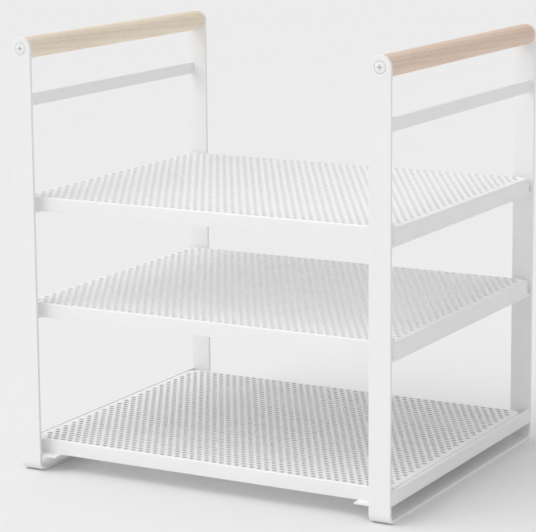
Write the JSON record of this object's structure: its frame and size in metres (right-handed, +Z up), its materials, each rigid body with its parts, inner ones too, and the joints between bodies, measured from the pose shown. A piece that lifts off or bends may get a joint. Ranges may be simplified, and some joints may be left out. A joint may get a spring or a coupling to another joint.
{
  "type": "tiered shelf riser",
  "caption": "Open countertop shelf riser: flat-bar side frames carry perforated trays one above another, with round wooden carrying handles across the frame tops.",
  "frame": {"origin": "on the floor under the middle of the riser", "axes": "+Z up, +X to the right along the width, -Y towards the front, where the tray fronts and a pair of handle screws face"},
  "size_m": [0.369, 0.307, 0.392],
  "materials": {
    "powder_coat": "satin",
    "tray_coat": "satin",
    "screw_coat": "satin",
    "handle_wood": "matte"
  },
  "bodies": {
    "root": {"left_frame": "powder_coat", "left_crossbar": "powder_coat", "left_bottom_side_rail": "powder_coat", "left_handle": "handle_wood", "left_top_ledge": "powder_coat", "left_middle_ledge": "powder_coat", "left_bottom_ledge": "powder_coat", "right_frame": "powder_coat", "right_crossbar": "powder_coat", "right_bottom_side_rail": "powder_coat", "right_handle": "handle_wood", "right_top_ledge": "powder_coat", "right_middle_ledge": "powder_coat", "right_bottom_ledge": "powder_coat", "top_tray": "tray_coat", "middle_tray": "tray_coat", "bottom_tray": "tray_coat", "handle_screws": "screw_coat"}
  },
  "joints": []
}
